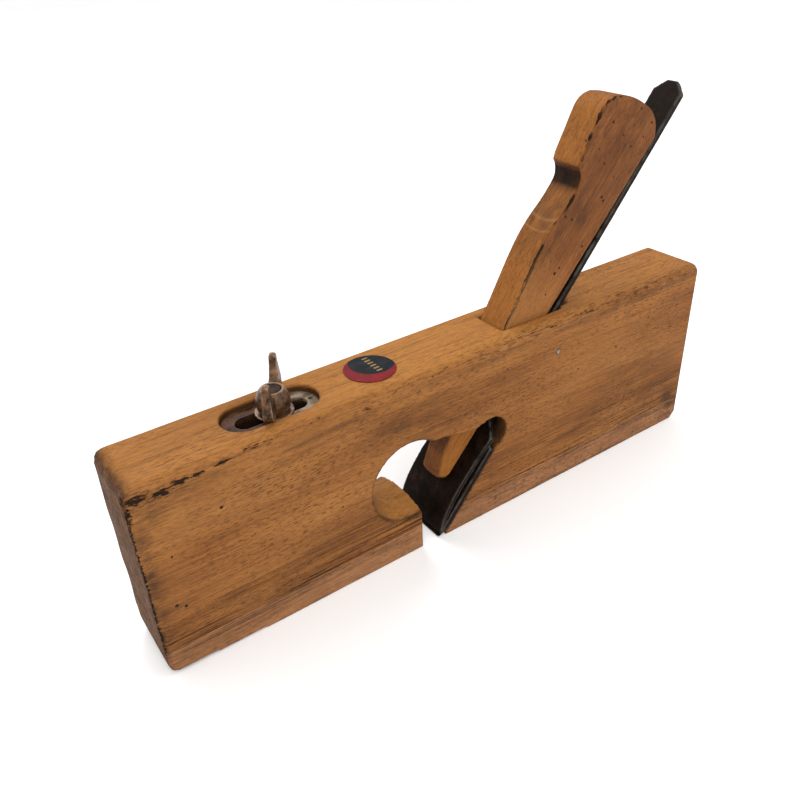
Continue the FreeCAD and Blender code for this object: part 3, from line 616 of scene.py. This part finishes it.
def sole_strip(node, name, body, material, seed, pale):
    """A sole strip; pale, from 0 to 1, is how light its sides are."""
    strip = worn_copy(node, name, body, material, voxel=0.75, rounds=2, dents=0.08,
                      dent_size=0.04, seed=seed, joint=-1)
    mesh = strip.data
    places = vertex_array(mesh, "vertices")
    normals = vertex_array(mesh, "vertex_normals")
    side = between(np.abs(normals[:, 1]), 0.1, 0.6)
    smudges = spots(places[:, 0], places[:, 2], SOLE_GRIME)
    foot = between(places[:, 2] / MM, 2.2, 0.8) * side
    toe_arris = between(places[:, 0] / MM, -132.0, -134.0) * between(places[:, 1] / MM, -12.5, -14.0)
    paint_wood(mesh, raised=pale * side, end=between(np.abs(normals[:, 0]), 0.3, 0.9),
               grime=np.maximum.reduce([0.3 * side, smudges, 0.6 * foot, 0.9 * toe_arris]),
               split=split_band(places) * side)
    return strip


def wedge_places(places):
    """Distance up the bed and height off it for each place, in millimetres."""
    from_foot = places / MM - np.array((BED_FOOT_X, 0.0, 0.0))
    return from_foot @ np.array(BED_UP), from_foot @ np.array(BED_OFF)


WEDGE_NOSE_UP = 154.6
WEDGE_NOSE_OFF = 34.6

# marks on the wedge's side: x, z, half length, half height and strength
WEDGE_GRIME = [
    (62, 122, 9, 8, 0.9), (70, 132, 9, 6, 0.55), (76, 150, 14, 9, 0.55), (66, 158, 8, 8, 0.5),
    (50, 104, 7, 10, 0.3), (92, 138, 8, 8, 0.45), (60, 138, 6, 6, 0.6), (90, 158, 10, 4, 0.5),
]

# marks on the wedge's front: distance up the bed, height off it, half length, half height and strength;
# dirt, with painted shadow in the mark at the notch
WEDGE_FRONT_DIRT_AND_SHADOW = [(132, 27, 18, 7, 0.75), (150, 27, 9, 6, 0.75), (168, 36, 12, 4, 0.3)]
WEDGE_NOTCH_SHADE = (150.8, 30.8, 3.2, 3.4, 1.0)


def wooden_wedge(material):
    wedge = worn_copy("wedge", "worn_wedge", "wedge_body", material, voxel=0.55, rounds=5,
                      dents=0.10, dent_size=0.05, seed=11.0)
    mesh = wedge.data
    nose = Vector((BED_FOOT_X, 0, 0)) + BED_UP * WEDGE_NOSE_UP + BED_OFF * WEDGE_NOSE_OFF
    soften(mesh, nose * MM, 3.2 * MM, 14)
    places = vertex_array(mesh, "vertices")
    normals = vertex_array(mesh, "vertex_normals")
    up_bed, off_bed = wedge_places(places)
    front = np.clip(normals @ np.array(BED_OFF), 0, 1)
    side = between(np.abs(normals[:, 1]), 0.1, 0.7)
    near = np.clip(-normals[:, 1], 0, 1)
    facing = np.clip(-normals[:, 0] + front, 0, 1)
    arris = between(near * facing, 0.05, 0.24) * (up_bed > 84) * ((up_bed < 146) | (up_bed > 157))
    line = np.clip(cloud_values(places, (0.12, 0.3, 0.12), 23.0) * 0.7 + 0.80, 0, 1)
    notch = 2.2 * spots(up_bed * MM, off_bed * MM, [WEDGE_NOTCH_SHADE])
    notch = np.clip(notch, 0, 1) * between(side, 1.0, 0.7)
    broad = np.clip(cloud_values(places, (0.04, 0.05, 0.04), 53.0) * 1.8 + 0.2, 0, 1)
    # dirt on the wedge's front, and painted shadow at the notch
    front_grime = spots(up_bed * MM, off_bed * MM, WEDGE_FRONT_DIRT_AND_SHADOW)
    grime = np.maximum(spots(places[:, 0], places[:, 2], WEDGE_GRIME), 0.25 + 0.30 * broad) * side
    grime *= between(up_bed, 95.0, 135.0) * 0.8 + 0.2
    grime = np.maximum(grime, 0.55 * side * between(up_bed, 140.0, 172.0))
    in_throat = up_bed < 60
    # painted shade: the front face of the wedge's tip, where it enters the throat, is darkened
    tip_grime = 0.70 * between(up_bed, 62.0, 50.0) * between(front, 0.90, 0.99)
    z = places[:, 2] / MM
    bow = 0.02 * (places[:, 1] / MM) ** 2
    upper_scratch = np.exp(-(((z - 121.3 - bow) / 0.4) ** 2))
    lower_scratch = np.exp(-(((z - 117.6 - bow) / 0.35) ** 2))
    scratches = 0.55 * np.maximum(upper_scratch, lower_scratch) * between(side, 0.9, 0.5) * (z > 100)
    # painted light: in the throat the wedge's near faces are painted lighter; above it the front faces are
    # painted lighter than the sides
    raised = np.where(in_throat, 0.9 * near, 0.85 * between(front, 0.3, 0.9) * between(side, 0.9, 0.5))
    # each side is paler towards the wedge's foot; this band goes into the scratch layer too
    pale_foot = side * between(up_bed, 124.0, 94.0) * ~in_throat
    raised = np.maximum(raised, 0.7 * pale_foot)
    end = 0.35 * between(np.abs(normals @ np.array(BED_UP)), 0.5, 0.9)
    paint_wood(mesh, raised=raised, end=end, chip=0.88 * arris * line, battered=0.35 * arris, shade=notch,
               grime=np.maximum.reduce([grime * ~in_throat, front_grime, tip_grime]),
               scratch=np.maximum(scratches, 0.45 * pale_foot))
    sink(mesh, 0.35 * arris * line)
    return wedge


def worm_holes(name, host, body, material, places):
    """Small ragged exit holes, each a low dished disc set on the host's surface, coloured near-black as the
    painted shade inside the hole.
    """
    tree = BVHTree.FromPolygons([v.co for v in host.data.vertices],
                                [p.vertices for p in host.data.polygons])
    shape = bmesh.new()
    for number, (x, z, radius) in enumerate(places):
        start = Vector((x * MM, -0.05, z * MM))
        hit, normal, _, _ = tree.ray_cast(start, Vector((0, 1, 0)))
        if hit is None:
            continue
        turn = normal.to_track_quat("Z", "X").to_matrix()
        ring = []
        sides = 12
        for step in range(sides):
            angle = 2 * math.pi * step / sides
            ragged = radius * (1.0 + 0.22 * noise.noise(Vector((number * 3.1, step * 0.9, 0.0))))
            out = Vector((math.cos(angle), math.sin(angle), 0)) * ragged * MM
            ring.append((hit + turn @ out, normal))
        top = [shape.verts.new(point + facing * 0.03 * MM) for point, facing in ring]
        foot = [shape.verts.new(point - facing * 0.35 * MM) for point, facing in ring]
        heart = shape.verts.new(hit + normal * 0.012 * MM)
        base = shape.verts.new(hit - normal * 0.35 * MM)
        for step in range(sides):
            after = (step + 1) % sides
            shape.faces.new((top[step], top[after], heart))
            shape.faces.new((foot[step], foot[after], top[after], top[step]))
            shape.faces.new((foot[after], foot[step], base))
    bmesh.ops.recalc_face_normals(shape, faces=shape.faces)
    mesh = bpy.data.meshes.new(name)
    shape.to_mesh(mesh)
    shape.free()
    mesh.materials.append(material)
    piece = new_object(name, mesh)
    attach(piece, body)
    return piece


# holes: x, z and radius, on the near side
STOCK_HOLES = [
    (-105, 63, 0.62), (-127, 31, 0.7), (-124, 29, 0.6), (-124.5, 52, 0.45), (84, 58, 0.45),
    (20, 70, 0.4), (61, 55, 0.4), (104, 66, 0.45), (112, 38, 0.4), (-60, 40, 0.4),
]
WEDGE_HOLES = [
    (68, 163, 0.5), (64, 150, 0.4), (76.5, 155, 0.6), (92, 157.5, 0.55), (99, 151, 0.55), (88, 143.7, 0.5),
    (73.7, 139.7, 0.5), (54.3, 122.8, 0.55), (58, 120.8, 0.6), (74, 126.3, 0.65), (75, 124.6, 0.6),
    (65, 107.8, 0.55), (52.8, 101.8, 0.5), (50.4, 100, 0.7), (34.8, 102, 0.5), (83, 149, 0.35),
    (70, 146, 0.35), (80, 133, 0.35), (46, 92, 0.4), (95, 146, 0.4),
]


# ---------------------------------------------------------------- stage
def add_camera():
    back = CAMERA_RIGHT.cross(CAMERA_UP)
    turn = Matrix((CAMERA_RIGHT, CAMERA_UP, back)).transposed()
    data = bpy.data.cameras.new("camera")
    data.lens = CAMERA_LENS
    data.sensor_width = 36.0
    data.clip_start = 0.01
    camera = new_object("camera", data)
    camera.matrix_world = Matrix.Translation(CAMERA_AT) @ turn.to_4x4()
    bpy.context.scene.camera = camera


def add_light(name, place, target, size, power, colour):
    data = bpy.data.lights.new(name, "AREA")
    data.shape = "DISK"
    data.size = size
    data.energy = power
    data.color = colour
    lamp = new_object(name, data)
    lamp.location = place
    lamp.rotation_euler = (Vector(target) - Vector(place)).to_track_quat("-Z", "Y").to_euler()


def add_stage():
    world = bpy.data.worlds.new("studio")
    world.use_nodes = True
    background = world.node_tree.nodes["Background"]
    background.inputs["Color"].default_value = (1.0, 1.0, 1.0, 1.0)
    background.inputs["Strength"].default_value = 1.05
    bpy.context.scene.world = world
    bpy.context.scene.view_settings.view_transform = "Standard"
    middle = (0.0, 0.0, 0.05)
    add_light("key", (-0.35, -0.75, 0.95), middle, 0.7, 5.0, (1.0, 0.985, 0.96))
    add_light("fill", (0.7, -0.5, 0.5), middle, 0.6, 1.5, (0.96, 0.98, 1.0))
    add_light("back", (0.1, 0.8, 0.8), middle, 0.7, 5.0, (1.0, 1.0, 1.0))
    shape = bmesh.new()
    bmesh.ops.create_grid(shape, x_segments=8, y_segments=8, size=3.0)
    mesh = bpy.data.meshes.new("floor")
    shape.to_mesh(mesh)
    shape.free()
    mesh.materials.append(floor_paper())
    floor = new_object("floor", mesh)
    floor.location = (0, 0, -0.0002)


def dress(node, material):
    """Gives a CAD node that keeps its own shape a finished material."""
    data = NODES[node].data
    data.materials.clear()
    data.materials.append(material)


def main():
    add_camera()
    add_stage()
    stock_wood = beech("stock_beech", 0.0,
                       tones=[(0.182, 0.068, 0.020), (0.264, 0.104, 0.030), (0.335, 0.139, 0.040)],
                       pale_and_lit_tone=(0.362, 0.152, 0.036), fleck=(0.070, 0.027, 0.011), fleck_share=0.72,
                       splits=0.92)
    sole_wood = beech("sole_beech", 0.0,
                      tones=[(0.185, 0.078, 0.032), (0.260, 0.114, 0.050), (0.325, 0.150, 0.066)],
                      pale_and_lit_tone=(0.430, 0.200, 0.085), fleck=(0.062, 0.026, 0.013), fleck_share=0.70,
                      splits=0.92)
    wedge_wood = beech("wedge_beech", BED_ANGLE,
                       tones=[(0.150, 0.052, 0.016), (0.225, 0.080, 0.024), (0.290, 0.108, 0.032)],
                       pale_and_lit_tone=(0.330, 0.124, 0.026), fleck=(0.070, 0.025, 0.010), fleck_share=0.65)
    black_iron = patina("black_iron", dark=(0.004, 0.002, 0.001), mid=(0.014, 0.007, 0.004),
                        rust=(0.030, 0.013, 0.007), bright=(0.115, 0.110, 0.098), edge_share=0.5)
    rusty_iron = patina("rusty_iron", dark=(0.009, 0.004, 0.002), mid=(0.195, 0.098, 0.048),
                        rust=(0.200, 0.082, 0.030), bright=(0.36, 0.25, 0.17), rough=(0.24, 0.46),
                        metallic=0.45, edge_share=0.6, shine=0.3)
    dark_steel = patina("dark_steel", dark=(0.014, 0.010, 0.008), mid=(0.055, 0.036, 0.026),
                        rust=(0.05, 0.022, 0.011), bright=(0.16, 0.13, 0.11))
    holes = hole_dark()

    stock = wooden_stock(stock_wood)
    sole_strip("heel_sole", "worn_heel_sole", "stock", sole_wood, 5.0, 0.15)
    sole_strip("toe_shoe", "worn_toe_shoe", "shoe", sole_wood, 7.0, 0.60)
    wedge = wooden_wedge(wedge_wood)
    worm_holes("stock_worm_holes", stock, "stock", holes, STOCK_HOLES)
    worm_holes("wedge_worm_holes", wedge, "wedge_body", holes, WEDGE_HOLES)

    worn_copy("cutter", "worn_cutter", "cutter_body", black_iron,
              voxel=0.45, dents=0.05, dent_size=0.15, seed=2.0)
    worn_copy("cap_iron", "worn_cap_iron", "cap_iron_body", black_iron,
              voxel=0.40, dents=0.05, dent_size=0.15, seed=4.0)
    worn_copy("wing_nut", "worn_wing_nut", "wing_nut_body", rusty_iron,
              voxel=0.26, rounds=4, dents=0.12, seed=6.0)
    washer = worn_copy("washer", "worn_washer", "washer_body", rusty_iron, voxel=0.22)
    washer.data.transform(Matrix.Translation((0, 0, 0.07 * MM)))
    worn_copy("slot_plate", "worn_slot_plate", "stock", plate_steel(), voxel=0.28)
    worn_copy("label_disc", "worn_label", "stock", label_foil(), voxel=0.12)
    for node in ("base_plate", "base_plate_screws", "slot_plate_pins", "cap_screw", "clamp_stud"):
        dress(node, dark_steel)
    dress("side_pin", pin_metal())
    dress("cap_nut", brass_metal())
    dress("guide_keys", sole_wood)


main()
